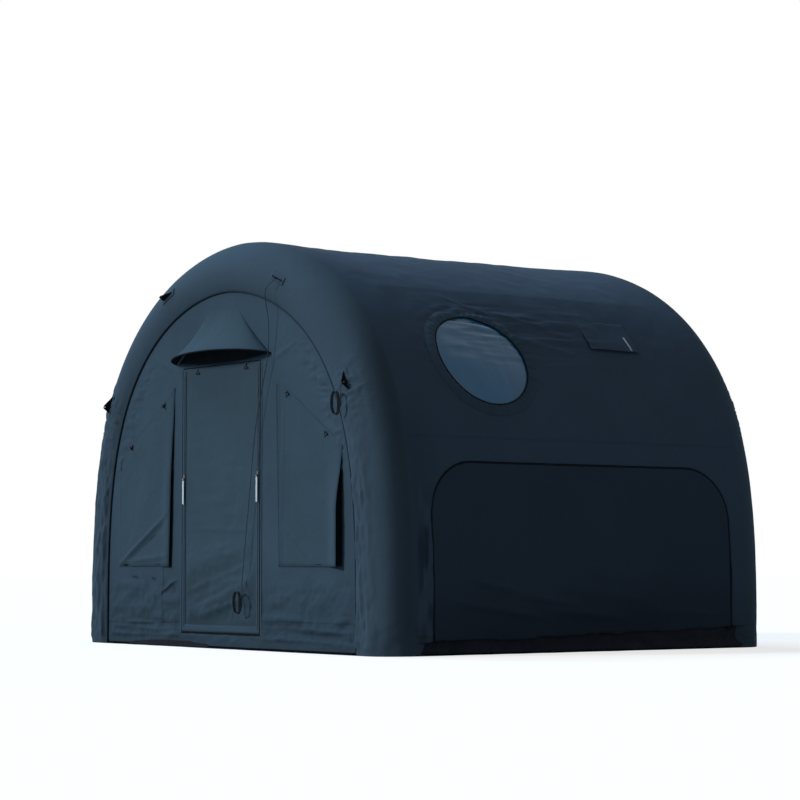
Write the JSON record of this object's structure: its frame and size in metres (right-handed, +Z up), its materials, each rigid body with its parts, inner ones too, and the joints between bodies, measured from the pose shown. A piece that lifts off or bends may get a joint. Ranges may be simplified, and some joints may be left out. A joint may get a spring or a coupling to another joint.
{
  "type": "inflatable tent",
  "caption": "Inflatable family tent: air-beam arches, cloth roof and walls, zipped door under a rain hood, covered and round windows, flap vents, side panels and a tray floor.",
  "frame": {"origin": "middle of the floor, on the ground under the groundsheet", "axes": "+X to the tent's right side as the picture shows it, -Y out of the door, +Z up"},
  "size_m": [2.9, 2.68, 2.1],
  "materials": {
    "front_cloth": "woven polyester, matt",
    "rear_cloth": "woven polyester, matt",
    "door_cloth": "woven polyester, matt",
    "hood_cloth": "woven polyester, matt",
    "roof_cloth": "coated polyester, slight sheen",
    "panel_cloth": "coated polyester, slight sheen",
    "sleeve_cloth": "heavy woven polyester, matt",
    "cover_cloth": "woven polyester, matt",
    "rim_cloth": "coated polyester, puckered",
    "groundsheet_vinyl": "laminated sheet, satin",
    "air_film": "urethane film, satin",
    "window_film": "tinted clear film, glossy",
    "mesh_net": "fine black net",
    "zip_tape": "woven tape, matt",
    "anchor_webbing": "woven webbing, matt",
    "guy_rope": "braided cord with reflective yarn",
    "toggle_plastic": "moulded, satin",
    "valve_plastic": "moulded, satin",
    "slider_metal": "black enamel",
    "pull_tab": "reflective band, satin",
    "stay_plastic": "stiff strip, satin",
    "bow_rod": "stiff rod, satin"
  },
  "bodies": {
    "tent": {"front_wall": "front_cloth", "rear_wall": "rear_cloth", "rain_hood": "hood_cloth", "roof_skin": "roof_cloth", "groundsheet": "groundsheet_vinyl", "hood_bow": "bow_rod", "hood_vent_mesh": "mesh_net", "door_zip_tape": "zip_tape", "front_beam_sleeve": "sleeve_cloth", "rear_beam_sleeve": "sleeve_cloth", "front_beam_bladder": "air_film", "rear_beam_bladder": "air_film", "ridge_beam": "air_film", "left_eave_beam": "air_film", "right_eave_beam": "air_film", "front_beam_valve": "valve_plastic", "front_guy_line": "guy_rope", "front_guy_hank": "guy_rope", "lower_guy_hank": "guy_rope", "front_left_upper_anchor": "anchor_webbing", "front_left_lower_anchor": "anchor_webbing", "front_right_upper_anchor": "anchor_webbing", "front_right_lower_anchor": "anchor_webbing", "rear_left_upper_anchor": "anchor_webbing", "rear_left_lower_anchor": "anchor_webbing", "rear_right_upper_anchor": "anchor_webbing", "rear_right_lower_anchor": "anchor_webbing", "left_round_pane": "window_film", "left_round_rim": "rim_cloth", "left_side_zip": "zip_tape", "left_window_zip": "zip_tape", "left_vent_mesh": "mesh_net", "left_window_mesh": "mesh_net", "right_round_pane": "window_film", "right_round_rim": "rim_cloth", "right_side_zip": "zip_tape", "right_window_zip": "zip_tape", "right_vent_mesh": "mesh_net", "right_window_mesh": "mesh_net"},
    "door": {"door_panel": "door_cloth", "door_toggle_left": "toggle_plastic", "door_toggle_right": "toggle_plastic"},
    "valve_cap": {"front_valve_cap": "valve_plastic"},
    "left_cover": {"left_window_cover": "cover_cloth", "left_window_toggle_a": "toggle_plastic", "left_window_toggle_b": "toggle_plastic"},
    "left_panel": {"left_side_panel": "panel_cloth"},
    "left_flap": {"left_vent_flap": "roof_cloth", "left_vent_stay": "stay_plastic"},
    "left_slider": {"left_zip_slider": "slider_metal"},
    "left_pull": {"left_zip_pull": "pull_tab"},
    "right_cover": {"right_window_cover": "cover_cloth", "right_window_toggle_a": "toggle_plastic", "right_window_toggle_b": "toggle_plastic"},
    "right_panel": {"right_side_panel": "panel_cloth"},
    "right_flap": {"right_vent_flap": "roof_cloth", "right_vent_stay": "stay_plastic"},
    "right_slider": {"right_zip_slider": "slider_metal"},
    "right_pull": {"right_zip_pull": "pull_tab"}
  },
  "joints": [
    {"name": "door_hinge", "type": "hinge", "parent": "tent", "child": "door", "pos_m": [-0.03, -1.2207, 1.46], "axis": [1, 0, 0], "range_deg": [0, 85]},
    {"name": "right_cover_hinge", "type": "hinge", "parent": "tent", "child": "right_cover", "pos_m": [0.775, -1.2233, 1.187], "axis": [-0.8465, 0, 0.5324], "range_deg": [0, 90]},
    {"name": "left_cover_hinge", "type": "hinge", "parent": "tent", "child": "left_cover", "pos_m": [-0.775, -1.2233, 1.187], "axis": [-0.8465, 0, -0.5324], "range_deg": [0, 90]},
    {"name": "right_panel_hinge", "type": "hinge", "parent": "tent", "child": "right_panel", "pos_m": [1.45, 0, 0.065], "axis": [0, 1, 0], "range_deg": [0, 90]},
    {"name": "left_panel_hinge", "type": "hinge", "parent": "tent", "child": "left_panel", "pos_m": [-1.45, 0, 0.065], "axis": [0, -1, 0], "range_deg": [0, 90]},
    {"name": "right_flap_hinge", "type": "hinge", "parent": "tent", "child": "right_flap", "pos_m": [1.0006, 0.455, 1.6983], "axis": [0, -1, 0], "range_deg": [0, 40]},
    {"name": "left_flap_hinge", "type": "hinge", "parent": "tent", "child": "left_flap", "pos_m": [-1.0006, 0.455, 1.6983], "axis": [0, 1, 0], "range_deg": [0, 40]},
    {"name": "left_slider_rail", "type": "slide", "parent": "tent", "child": "left_slider", "axis": [0, 0, 1], "range_m": [-0.72, 0.54]},
    {"name": "left_pull_hinge", "type": "hinge", "parent": "left_slider", "child": "left_pull", "pos_m": [-0.385, -1.2318, 0.879], "axis": [-1, 0, 0], "range_deg": [0, 90]},
    {"name": "right_slider_rail", "type": "slide", "parent": "tent", "child": "right_slider", "axis": [0, 0, 1], "range_m": [-0.72, 0.54]},
    {"name": "right_pull_hinge", "type": "hinge", "parent": "right_slider", "child": "right_pull", "pos_m": [0.325, -1.2318, 0.879], "axis": [-1, 0, 0], "range_deg": [0, 90]},
    {"name": "valve_cap_hinge", "type": "hinge", "parent": "tent", "child": "valve_cap", "pos_m": [-1.0813, -1.071, 0.2516], "axis": [0, -1, 0], "range_deg": [0, 140]}
  ]
}
